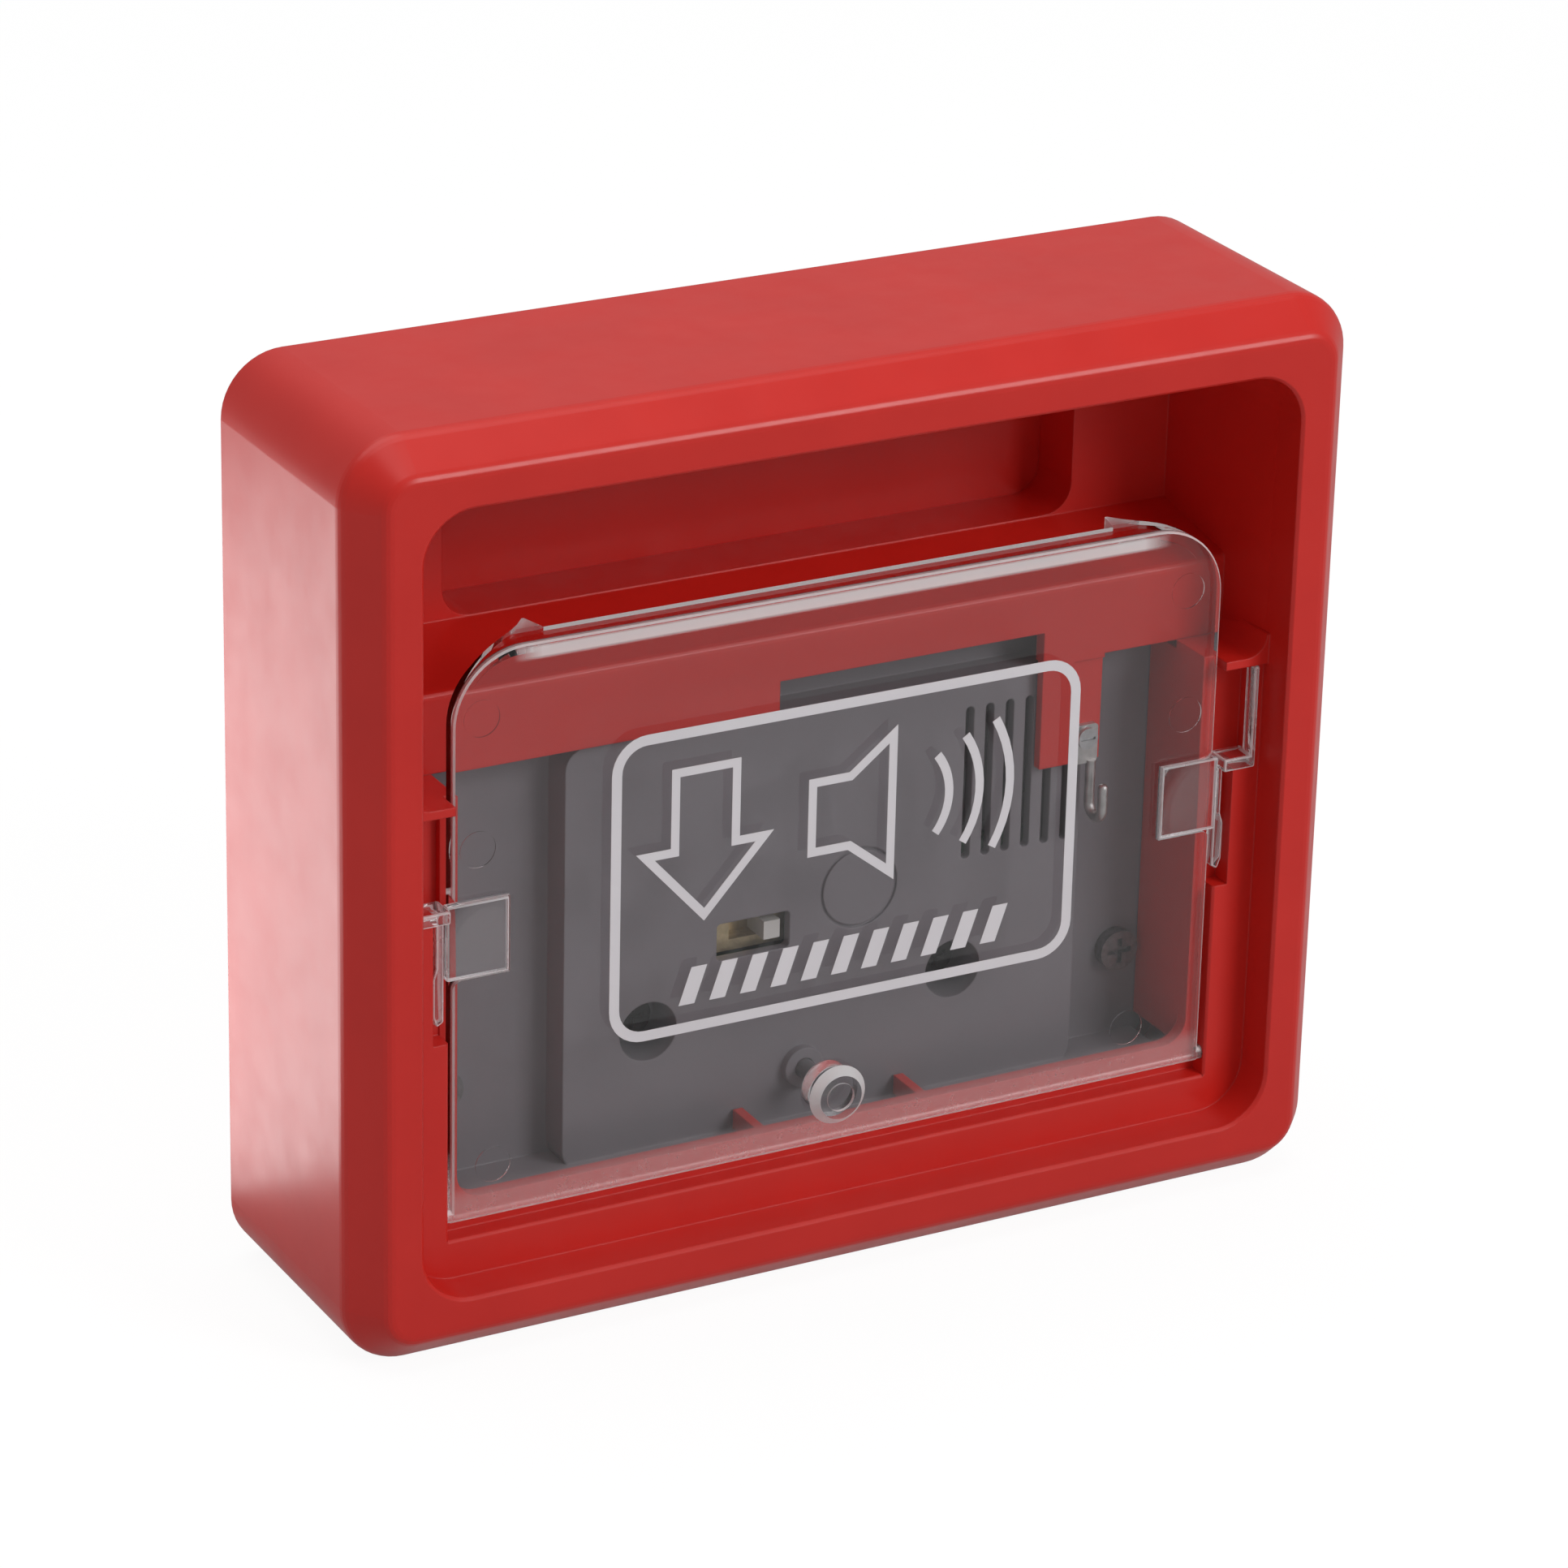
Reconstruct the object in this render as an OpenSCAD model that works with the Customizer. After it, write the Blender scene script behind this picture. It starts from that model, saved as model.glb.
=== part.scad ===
// Alarmed key box with a clear pull-out cover held by two snap-off side tabs.
// Millimetres. X runs to the right, Y from the front to the back, Z up; the box stands on Z = 0.
// Drawings of the front are centred on its middle: x to the right, z up, and d is the depth
// behind the front of the rim.

/* [Casing] */
// Overall width
case_w = 145; // [138:1:190]
// Overall height
case_h = 126.5; // [124:0.5:170]
// Overall depth
case_d = 41; // [41:0.5:60]
// Thickness of the outer walls
wall = 3; // [2.4:0.1:4]
// Corner radius, seen from the front
corner_r = 8.5; // [6:0.5:12]
// Width of the bevel round the front
bevel_w = 4.3; // [2:0.1:5]
// Depth of the bevel
bevel_d = 5.1; // [3:0.1:7]
// Width of the rim, bevel included
rim_w = 9.2; // [8.6:0.1:13]
// Corner radius of the opening in the rim
opening_r = 7; // [5:0.5:10]
// Rounding of the rim's outer edges
edge_round = 0.9; // [0.4:0.1:1.1]
// Chamfer of the rim's inner edge
edge_c = 0.4; // [0.2:0.1:0.5]
// Thickness of the inner walls
web_t = 2; // [1.4:0.1:2.6]

/* [Ledge and seat] */
// Depth of the ledge that frames the cover
ledge_d = 6; // [4:0.1:8]
// Width of the ledge at each side
ledge_w = 6.2; // [5.6:0.1:9]
// Width of the ledge along the bottom
sill_w = 5.4; // [4:0.1:9]
// Width of the seat behind the cover, at the sides
seat_w = 2.1; // [1.6:0.1:6]
// Width of the seat behind the cover, along the bottom
seat_h = 4.7; // [2.5:0.1:5.2]
// Corner radius of the window inside the seat
window_r = 3.5; // [1:0.5:5]

/* [Finger recess] */
// Height of the gap between the cover's top and the rim's opening
reach_gap = 21.8; // [16:0.1:34]
// Depth of the recess behind the front
recess_d = 30; // [26:0.5:34]
// Draft of the recess, inwards at each side over its whole depth
recess_draft = 1.8; // [0.5:0.1:3]
// Depth of the cross beam's face
beam_d = 15.8; // [13:0.1:17]
// Drop from the cover's top edge to the beam's top edge
beam_drop = 8.8; // [6:0.1:12]
// Drop from the cover's top edge to the beam's bottom edge and the side shelves
shelf_drop = 19.6; // [16:0.1:24]
// Drop from the cover's top edge to the back edge of the sloping floor
floor_drop = 5.2; // [2:0.1:6]
// Thickness of the side shelves
shelf_t = 1.2; // [0.8:0.1:2]
// Depth at which the side shelves begin
shelf_d = 4.9; // [3:0.1:6]
// Radius of the cove between shelf and side wall
cove_r = 3; // [1:0.5:4]
// Width of the finger pocket in the recess's back wall
pocket_w = 93.4; // [60:0.2:104]
// Height of the finger pocket
pocket_h = 22; // [14:0.5:24]
// Corner radius of the finger pocket
pocket_r = 4; // [2:0.5:6]

/* [Clear cover] */
// Thickness of the cover plate
cover_t = 2.2; // [1.8:0.1:3]
// Depth of the cover's face
cover_d = 6.4; // [6.2:0.1:8]
// Gap between the cover and the ledge at each side
cover_gap = 0.8; // [0.5:0.1:1.4]
// Gap between the cover and the ledge along the bottom
cover_lift = 1.9; // [1:0.1:3]
// Radius of the cover's top corners
cover_r = 10; // [6:0.5:14]
// Thickness of the pull flange
flange_t = 1.8; // [1.2:0.1:2.6]
// Depth of the pull flange from the cover's face, between the ears
flange_d = 4.5; // [3:0.1:6]
// Depth of the ears from the cover's face
ear_d = 8.2; // [6.2:0.1:8.6]
// Radius of the notch corners at the cover's side edges
notch_r = 1.3; // [0.5:0.1:2]
// Radius of the stub pins that the cover tilts on
pivot_r = 1; // [0.7:0.1:1.1]
// Length of the stub pins beyond the cover's edge
pivot_l = 2.6; // [1.8:0.1:4]
// Diameter of the moulded boss that works the switch
boss_dia = 8.4; // [6:0.1:10]
// Height of the boss above the cover's bottom edge
boss_z = 7; // [6.8:0.1:12]

/* [Break tabs] */
// Height of a tab's flag
flag_h = 10.4; // [7:0.1:14]
// Reach of the flag over the cover's edge
flag_reach = 8; // [5:0.1:10]
// Thickness of the flag
flag_t = 1.5; // [1:0.1:1.8]
// Thickness of the clip's top arm
clip_t = 1.8; // [1.2:0.1:2.5]
// Length of the clip's leg below its arm
leg_l = 15.1; // [10:0.1:22]
// Drop from the shelf to the top of the ledge's arms
arm_drop = 16; // [12:0.1:24]
// Width of the slot that holds the leg
slot_w = 2.2; // [1.9:0.1:3]

/* [Alarm unit] */
// Depth of the grey panel
panel_d = 22.4; // [20:0.1:24]
// Thickness of the panel
panel_t = 1.8; // [1.4:0.1:2.4]
// Depth of the raised block's face
block_d = 17.6; // [17.4:0.1:19]
// Width of the raised block
block_w = 77.4; // [77.4:0.1:90]
// Gap between the raised block's top and the side shelves
block_gap = 0.7; // [0.4:0.1:3]
// Offset of the block to the right of the middle
block_x = 3.2; // [0:0.1:5]
// Corner radius of the block
block_r = 3; // [1:0.5:5]
// Number of sound slots
slots = 6; // [3:1:7]
// Pitch of the sound slots
slot_pitch = 3.05; // [2.6:0.05:3.4]
// Width of a sound slot
sound_slot_w = 1.3; // [0.8:0.1:1.6]
// Height of the sound slots
sound_slot_h = 22; // [12:0.5:26]

/* [Key hook] */
// Diameter of the hook's wire
hook_dia = 1.4; // [1:0.1:1.8]
// Radius of the hook's bend
hook_bend = 1.7; // [1.4:0.1:2]
// Length of the hook's shank
hook_l = 6; // [4:0.5:9]

/* [Back plate] */
// Thickness of the back plate
back_t = 2.2; // [1.8:0.1:3]
// Gap between back plate and casing
back_gap = 0.3; // [0.1:0.05:0.6]
// Radius of the wall fixing holes
wall_hole_r = 2.5; // [2:0.1:3]
// Distance of the wall fixing holes from the casing's sides
wall_hole_x = 11; // [9:0.5:13]
// Distance of the wall fixing holes from the casing's top and bottom
wall_hole_z = 15.25; // [12:0.25:20]

/* [Hidden] */
$fn = 64;
eps = 0.01;

red = "#c8372d";
grey = "#646264";
clear = [0.9, 0.92, 0.94, 0.35];
steel = "#b9bcc0";

// Clearances: a sliding or turning fit, pieces that are only laid in, and a snap line
run = 0.08;
lay = 0.2;
snap_gap = 0.05;

// Half sizes and edges of the front drawing
half_w = case_w / 2;
half_h = case_h / 2;
open_x = half_w - rim_w;
open_z = half_h - rim_w;
ledge_x = open_x - ledge_w;
sill_z = -open_z + sill_w;
window_x = ledge_x - seat_w;
window_z = sill_z + seat_h;
seat_d = cover_d + cover_t + lay;
seat_t = web_t;

// Cover
cover_x = ledge_x - cover_gap;
cover_z0 = sill_z + cover_lift;
cover_z1 = open_z - reach_gap;
pivot_z = cover_z0 + cover_t / 2;
pivot_d = cover_d + cover_t / 2;
ear_x = cover_x - cover_r - 3.3;
post_d = cover_d + cover_t + 2.2;
post_r = boss_dia / 2 - 0.7;
boss_at = cover_z0 + boss_z;

// Beam and shelves
shelf_z = cover_z1 - shelf_drop;
beam_z = cover_z1 - beam_drop;
floor_z = cover_z1 - floor_drop;
notch_x0 = -5.4;
lug_x0 = 34.3;
lug_x1 = 43.8;
lug_t = 1.4;
lug_l = 15.2;

// Arms and tabs
arm_z = shelf_z - arm_drop;
bay_d = 10;
flag_z1 = arm_z + clip_t - 0.1;
flag_z0 = flag_z1 - flag_h;
flag_x0 = cover_x - flag_reach;
flag_x1 = ledge_x + 0.1;
flag_d = cover_d - 0.1;
pocket_floor = flag_d + flag_t;
slot_x1 = ledge_x + slot_w;
slot_z = arm_z - leg_l - 2;

// Alarm unit
block_x0 = block_x - block_w / 2;
block_x1 = block_x + block_w / 2;
block_z0 = sill_z + 0.4;
block_z1 = shelf_z - block_gap;
tray_t = 1.4;
tray_x = ledge_x - 0.8;
tray_z0 = sill_z;
tray_z1 = beam_z - 3.4;
tray_d = seat_d + seat_t + lay;
back_d = case_d - back_t;
base_d = back_d;
floor_t = 1.3;
board_d = 27.4;
board_t = 1.6;
slots_x = block_x1 - 9.9;
slots_z = block_z1 - 15.3;
window_w = 10.9;
window_hh = 5.3;
switch_x = block_x0 + 27.9;
switch_z = block_z0 + 28.8;
disc_x = 23;
disc_z = block_z0 + 18;
disc_r = 4.2;
fix_x = tray_x - 5;
fix_z0 = tray_z0 + 14.2;
fix_z1 = tray_z1 - 4;

// Battery of the 9 volt block size
battery_l = 46.4;
battery_w = 26.2;
battery_h = 17.3;
battery_x0 = block_x0 + 1.7;
battery_z0 = block_z1 - 1.6 - battery_w - 0.2;
battery_d1 = base_d - floor_t;

// Switch pin
pin_r = 1.3;
pin_flange_d = 20.4;
pin_out = 1.2;
micro_d = 22;

// Case screws
case_screw_x = 35;
case_screw_d = back_d - 5;

function y_of(d) = d - case_d / 2;
function z_of(z) = z + case_h / 2;

// Point at share s of a curve that leaves a and reaches c, each time along its line to b
function curve(a, b, c, s) = (1 - s) * (1 - s) * a + 2 * s * (1 - s) * b + s * s * c;

// Front drawing, pushed from depth d0 to depth d1
module slab(d0, d1) {
    translate([0, y_of(d1), z_of(0)]) rotate([90, 0, 0]) linear_extrude(d1 - d0) children();
}

// Side drawing in depth and height, pushed from x0 to x1
module across(x0, x1) {
    translate([x0, y_of(0), z_of(0)]) rotate([90, 0, 90]) linear_extrude(x1 - x0) children();
}

// Plan drawing in x and depth, pushed from z0 up to z1
module upward(z0, z1) {
    translate([0, y_of(0), z_of(z0)]) linear_extrude(z1 - z0) children();
}

// Round bar from depth d0 to d1
module bar(x, z, d0, d1, r) {
    translate([x, y_of(d0), z_of(z)]) rotate([-90, 0, 0]) cylinder(h = d1 - d0, r = r);
}

// Rectangle given by its edges, with rounded corners where r is over zero
module rect(x0, x1, z0, z1, r = 0) {
    if (r > 0) {
        translate([x0 + r, z0]) square([x1 - x0 - 2 * r, z1 - z0]);
        translate([x0, z0 + r]) square([x1 - x0, z1 - z0 - 2 * r]);
        for (x = [x0 + r, x1 - r], z = [z0 + r, z1 - r]) translate([x, z]) circle(r);
    } else translate([x0, z0]) square([x1 - x0, z1 - z0]);
}

module both() {
    children();
    mirror([1, 0, 0]) children();
}

// Rounded block whose sides follow points of [inset, depth] in the same way all round
module profiled(w, h, r, points) {
    n = len(points) - 1;
    a = w / 2 - r;
    b = h / 2 - r;
    across(-a, a) polygon(concat([for (p = points) [p[1], h / 2 - p[0]]],
        [for (i = [n:-1:0]) [points[i][1], points[i][0] - h / 2]]));
    upward(-b, b) polygon(concat([for (p = points) [w / 2 - p[0], p[1]]],
        [for (i = [n:-1:0]) [points[i][0] - w / 2, points[i][1]]]));
    for (x = [-a, a], z = [-b, b]) translate([x, y_of(0), z_of(z)]) rotate([-90, 0, 0]) rotate_extrude()
        polygon(concat([[0, points[0][1]]], [for (p = points) [r - p[0], p[1]]], [[0, points[n][1]]]));
}

// Flat-head screw along the depth, with its head at depth d
module screw(x, z, d, l, head_r = 2.7, head_t = 1.8, r = 1.4) {
    difference() {
        union() {
            bar(x, z, d, d + head_t, head_r);
            bar(x, z, d + head_t - eps, d + l, r);
        }
        slab(d - 1, d + 0.9) {
            rect(x - head_r * 0.62, x + head_r * 0.62, z - 0.4, z + 0.4);
            rect(x - 0.4, x + 0.4, z - head_r * 0.62, z + head_r * 0.62);
        }
    }
}

// Wire through a list of [x, d, z] points
module wire(points, r) {
    for (i = [0:len(points) - 2]) {
        p = points[i];
        q = points[i + 1];
        v = q - p;
        l = norm(v);
        translate([p[0], y_of(p[1]), z_of(p[2])])
            rotate([0, acos(v[2] / l), atan2(v[1], v[0])]) cylinder(h = l, r = r, $fn = 24);
        if (i > 0) translate([p[0], y_of(p[1]), z_of(p[2])]) sphere(r, $fn = 24);
    }
}

// Casing, with its bevelled and rounded rim

function rim_points() =
    let (a = [0, bevel_d], b = [bevel_w, 0], u = (b - a) / norm(b - a) * edge_round)
    concat([for (i = [0:3]) curve(b + [edge_round, 0], b, b - u, i / 3)],
        [for (i = [0:3]) curve(a + u, a, a + [0, edge_round], i / 3)]);

module case_solid() {
    profiled(case_w, case_h, corner_r, concat(rim_points(), [[0, case_d - 0.5], [0.5, case_d]]));
}

// Space of the finger recess, in side view
module recess_profile() {
    polygon(concat([[-1, shelf_z], [beam_d, shelf_z]],
        [for (i = [0:3]) curve([beam_d, beam_z - 0.8], [beam_d, beam_z], [beam_d + 0.8, beam_z + 0.2], i / 3)],
        [[recess_d, floor_z], [recess_d, half_h], [-1, half_h]]));
}

// Outside of the recess's walls, in side view
module recess_shell_profile() {
    polygon([[web_t, shelf_z - shelf_t], [beam_d, shelf_z - shelf_t], [beam_d, shelf_z],
        [beam_d + web_t, shelf_z], [beam_d + web_t, beam_z - web_t + 0.3],
        [recess_d + web_t, floor_z - web_t + 0.3], [recess_d + web_t, half_h], [web_t, half_h]]);
}

module recess_space() {
    intersection() {
        profiled(2 * open_x, 2 * open_z, opening_r, [[0, -eps], [0, ledge_d], [recess_draft, recess_d]]);
        across(-half_w, half_w) recess_profile();
    }
}

module recess_shell() {
    intersection() {
        profiled(2 * open_x + 2 * web_t, 2 * open_z + 2 * web_t, opening_r + web_t,
            [[0, bevel_d - 2], [0, ledge_d], [recess_draft, recess_d + web_t]]);
        across(-half_w, half_w) recess_shell_profile();
    }
    slab(recess_d + web_t / 2, back_d)
        rect(-pocket_w / 2 - web_t, pocket_w / 2 + web_t, floor_z - web_t + 0.2,
            floor_z + 0.2 + pocket_h + web_t, pocket_r + web_t);
}

module arm_bays() {
    both() {
        slab(-eps, bay_d) rect(ledge_x - eps, open_x - 0.9, arm_z, shelf_z - shelf_t);
        slab(ledge_d - eps, cover_d + cover_t + 0.4) rect(ledge_x - eps, slot_x1, slot_z, arm_z + eps);
    }
}

module side_shelf() {
    slab(shelf_d, seat_d + eps) rect(cover_x + 0.4, open_x, shelf_z - shelf_t, shelf_z);
    slab(seat_d, beam_d + eps) rect(window_x, open_x, shelf_z - shelf_t, shelf_z);
    difference() {
        slab(shelf_d, beam_d + eps) rect(open_x - 0.4 - cove_r, open_x, shelf_z - eps, shelf_z + cove_r);
        bar(open_x - 0.4 - cove_r, shelf_z + cove_r, shelf_d - 1, beam_d + 1, cove_r);
    }
}

module hook_lug() {
    difference() {
        slab(beam_d, beam_d + lug_t) rect(lug_x0, lug_x1, shelf_z - lug_l, beam_z - 1);
        slab(beam_d - 1, beam_d + 0.5) rect(lug_x0 + 4.8, lug_x1 + 1, shelf_z - lug_l - 1, shelf_z - 0.6);
        bar(hook_x - 0.2, hook_z + 0.9, beam_d - 1, beam_d + lug_t + 1, 0.9);
    }
}

module front_housing() {
    color(red) {
        difference() {
            union() {
                difference() {
                    case_solid();
                    slab(bevel_d - 0.6, case_d + 1)
                        rect(-half_w + wall, half_w - wall, -half_h + wall, half_h - wall, corner_r - wall);
                }
                slab(bevel_d - 2, seat_d + seat_t)
                    rect(-open_x - web_t, open_x + web_t, -open_z - web_t, shelf_z, opening_r + web_t);
                slab(bevel_d - 2, seat_d)
                    rect(-open_x - web_t, open_x + web_t, -open_z - web_t, open_z + web_t, opening_r + web_t);
                recess_shell();
                for (x = [-case_screw_x, case_screw_x])
                    across(x - 5, x + 5) translate([case_screw_d - 5, -half_h + wall - eps]) square([10, 2]);
            }
            profiled(2 * open_x, 2 * open_z, opening_r, [[-edge_c - 0.1, -0.1], [0, edge_c], [0, ledge_d]]);
            slab(ledge_d - eps, seat_d) rect(-ledge_x, ledge_x, sill_z, shelf_z + 1);
            across(-ledge_x, ledge_x)
                polygon([[ledge_d - 0.1, sill_z + eps], [ledge_d + 0.3, sill_z + eps], [ledge_d - 0.1, sill_z - 0.4]]);
            both() upward(sill_z, shelf_z)
                polygon([[ledge_x - eps, ledge_d - 0.1], [ledge_x - eps, ledge_d + 0.3], [ledge_x + 0.4, ledge_d - 0.1]]);
            slab(-1, beam_d) rect(-window_x, window_x, window_z, shelf_z + cover_r, window_r);
            bar(0, boss_at, seat_d - 1, seat_d + seat_t + 1, post_r + 0.5);
            recess_space();
            arm_bays();
            slab(recess_d - 1, case_d)
                rect(-pocket_w / 2, pocket_w / 2, floor_z + 0.2, floor_z + 0.2 + pocket_h, pocket_r);
            slab(beam_d - 1, beam_d + web_t + 1) rect(notch_x0, lug_x0, shelf_z - 1, shelf_z + 4.4);
            for (x = [-ledge_x, ledge_x])
                translate([x + sign(x) * (pivot_l - cover_gap + 0.3), y_of(pivot_d), z_of(pivot_z)])
                    rotate([0, -sign(x) * 90, 0])
                        cylinder(h = pivot_l - cover_gap + 0.3 + eps, r = pivot_r + run);
            for (x = [-case_screw_x, case_screw_x]) translate([x, y_of(case_screw_d), 0]) {
                translate([0, 0, -1]) cylinder(h = wall + 4, r = 1.6);
                translate([0, 0, -1]) cylinder(h = 3.2, r = 3.2);
            }
        }
        both() side_shelf();
        // walls that frame the alarm unit behind the seat
        both() slab(seat_d + 1, panel_d - lay)
            rect(window_x, min(window_x + web_t, ledge_x - 0.1), window_z - 1, shelf_z - shelf_t + eps);
        hook_lug();
        // ribs behind the sill
        for (x = [-9.5, 15])
            slab(seat_d + 1, block_d - lay) rect(x - 0.7, x + 0.7, sill_z + 1.6, window_z - 0.3);
    }
}

module back_plate() {
    w = half_w - wall - back_gap;
    h = half_h - wall - back_gap;
    color(red) difference() {
        union() {
            slab(back_d, case_d) rect(-w, w, -h, h, corner_r - wall - back_gap);
            for (x = [-case_screw_x, case_screw_x])
                slab(back_d - 9, back_d + eps) rect(x - 5, x + 5, -half_h + wall + 2.2, -half_h + wall + 9);
            // hooks that hold the casing's top
            for (x = [-case_screw_x, case_screw_x])
                slab(back_d - 5, back_d + eps) rect(x - 6, x + 6, h - 2, h);
            // rails beside the alarm unit
            for (z = [tray_z0 - 2, tray_z1 + 0.2])
                slab(back_d - 3, back_d + eps) rect(-20, 20, z, z + 1.8);
        }
        for (x = [-case_screw_x, case_screw_x])
            translate([x, y_of(case_screw_d), wall + 2]) cylinder(h = 10, r = 1.25);
        for (x = [-half_w + wall_hole_x, half_w - wall_hole_x], z = [-half_h + wall_hole_z, half_h - wall_hole_z])
            bar(x, z, back_d - 1, case_d + 1, wall_hole_r);
        for (x = [-fix_x, fix_x], z = [fix_z0, fix_z1]) bar(x, z, back_d - 1, case_d - 0.6, 1.25);
    }
}

// Clear cover, with its pull flange, boss and stub pins

module cover_outline(inset = 0) {
    rect(-cover_x + inset, cover_x - inset, pivot_z, cover_z1 - inset, cover_r - inset);
    rect(-cover_x + inset, cover_x - inset, pivot_z, (pivot_z + cover_z1) / 2);
}

// Half plan of the flange, from the middle out round the ear to the cover's side
function flange_edge() = concat(
    [[-eps, cover_d], [-eps, cover_d + flange_d], [ear_x - 1.3, cover_d + flange_d],
        [ear_x - 0.35, cover_d + ear_d]],
    [for (i = [0:6]) curve([ear_x, cover_d + ear_d], [cover_x - cover_r + 0.7, cover_d + cover_t + 0.7],
        [cover_x - 3.3, cover_d + cover_t], i / 6)],
    [[cover_x, cover_d + cover_t], [cover_x, cover_d]]);

// Notch for a tab, with its corners rounded at the cover's side edge
module tab_notch() {
    z0 = flag_z0 - 0.1;
    z1 = flag_z1 + 0.1;
    rect(flag_x0, cover_x + 1, z0, z1);
    difference() {
        rect(cover_x - notch_r, cover_x + 1, z0 - notch_r, z1 + notch_r);
        for (z = [z0 - notch_r, z1 + notch_r]) translate([cover_x - notch_r, z]) circle(notch_r);
    }
}

module clear_cover() {
    color(clear) difference() {
        union() {
            intersection() {
                translate([0, 0, pivot_z]) profiled(2 * cover_x, 2 * (cover_z1 - pivot_z), cover_r,
                    [[0.25, cover_d], [0, cover_d + 0.25], [0, cover_d + cover_t]]);
                slab(cover_d, cover_d + cover_t) rect(-cover_x, cover_x, pivot_z, cover_z1);
            }
            // pull flange, which runs out round the corners through two swept ears
            intersection() {
                slab(cover_d + 0.25, cover_d + ear_d) difference() {
                    cover_outline();
                    cover_outline(flange_t);
                }
                upward(cover_z1 - cover_r - 2, cover_z1 + 1) both() polygon(flange_edge());
            }
            // rounded bottom edge with its stub pins
            translate([-cover_x, y_of(pivot_d), z_of(pivot_z)]) rotate([0, 90, 0])
                cylinder(h = 2 * cover_x, r = cover_t / 2);
            translate([-cover_x - pivot_l, y_of(pivot_d), z_of(pivot_z)]) rotate([0, 90, 0])
                cylinder(h = 2 * (cover_x + pivot_l), r = pivot_r);
            translate([0, y_of(cover_d - 1.1), z_of(boss_at)]) rotate([-90, 0, 0])
                cylinder(h = 1.1 + eps, r1 = boss_dia / 2 - 1.1, r2 = boss_dia / 2);
            bar(0, boss_at, cover_d + cover_t - eps, post_d, post_r);
        }
        bar(0, boss_at, cover_d - 2, cover_d - 0.6, 2);
        both() slab(cover_d - 1, pocket_floor) tab_notch();
        // witness marks of the ejector pins
        for (p = [[cover_x - 4.5, cover_z1 - 9.5], [cover_x - 4, cover_z1 - 27.3]], s = [-1, 1])
            bar(s * p[0], p[1], cover_d + cover_t - 0.15, cover_d + cover_t + 1, 2.5);
        for (x = [-cover_x + 6.3, cover_x - 11]) bar(x, cover_z0 + 7, cover_d + cover_t - 0.15, cover_d + cover_t + 1, 2.5);
    }
}

// Break tabs: a flag on the cover and a clip in the casing, which part at a snap line

module tab_flag() {
    slab(flag_d, pocket_floor) rect(flag_x0 + 0.1, flag_x1, flag_z0, flag_z1);
}

module tab_clip() {
    x0 = flag_x1 + snap_gap;
    slab(shelf_d, cover_d + cover_t + 0.3) rect(x0, open_x - 1.2, arm_z, arm_z + clip_t);
    slab(shelf_d, cover_d + 0.8) rect(open_x - 2, open_x - 1.2, arm_z + eps, shelf_z - shelf_t - lay);
    slab(cover_d + 0.6, cover_d + cover_t + 0.3) polygon([[x0, arm_z + eps], [x0 + 1.1, arm_z + eps],
        [x0 + 1.1, arm_z - leg_l * 0.45], [x0 + 1.6, arm_z - leg_l * 0.55], [x0 + 1.6, arm_z - leg_l * 0.9],
        [x0 + 1, arm_z - leg_l], [x0, arm_z - leg_l * 0.96]]);
}

module right_break_tab() { color(clear) tab_flag(); }
module left_break_tab() { color(clear) mirror([1, 0, 0]) tab_flag(); }
module right_tab_clip() { color(clear) tab_clip(); }
module left_tab_clip() { color(clear) mirror([1, 0, 0]) tab_clip(); }

// Alarm unit

module sound_slots() {
    for (i = [0:slots - 1])
        translate([slots_x + (i - (slots - 1) / 2) * slot_pitch, slots_z])
            rect(-sound_slot_w / 2, sound_slot_w / 2, -sound_slot_h / 2, sound_slot_h / 2, sound_slot_w / 2 - eps);
}

module alarm_front() {
    color(grey) difference() {
        union() {
            slab(panel_d, panel_d + panel_t) rect(-tray_x, tray_x, tray_z0, tray_z1, 2);
            slab(tray_d, panel_d + eps) rect(-window_x + lay, window_x - lay, tray_z0, tray_z0 + tray_t);
            slab(block_d, panel_d + eps) rect(block_x0, block_x1, block_z0, block_z1, block_r);
            for (x = [-disc_x, disc_x]) bar(x, disc_z, block_d + 0.5, board_d - 0.1, disc_r + 1);
            bar(0, boss_at, block_d - 1.2, block_d + 1, 2.9);
        }
        slab(block_d + 1.5, panel_d + panel_t + 1)
            difference() {
                rect(block_x0 + 1.5, block_x1 - 1.5, block_z0 + 1.5, block_z1 - 1.5, block_r - 1.5 + eps);
                for (x = [-disc_x, disc_x]) translate([x, disc_z]) circle(disc_r + 1);
            }
        for (x = [-disc_x, disc_x]) {
            bar(x, disc_z, block_d - 1, board_d - 3, disc_r);
            bar(x, disc_z, block_d, board_d + 1, 1.5);
        }
        slab(block_d - 1, block_d + 2) sound_slots();
        slab(block_d - 1, block_d + 2) rect(switch_x - window_w / 2, switch_x + window_w / 2,
            switch_z - window_hh / 2, switch_z + window_hh / 2, 0.6);
        bar(0, boss_at, block_d - 2, block_d + 3, pin_r + run);
        for (x = [-fix_x, fix_x], z = [fix_z0, fix_z1]) bar(x, z, panel_d - 1, panel_d + panel_t + 1, 1.6);
        difference() {
            bar(block_x + 5, switch_z + 4, block_d - 1, block_d + 0.3, 5.8);
            bar(block_x + 5, switch_z + 4, block_d - 1, block_d + 0.3, 5.4);
        }
    }
}

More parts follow.
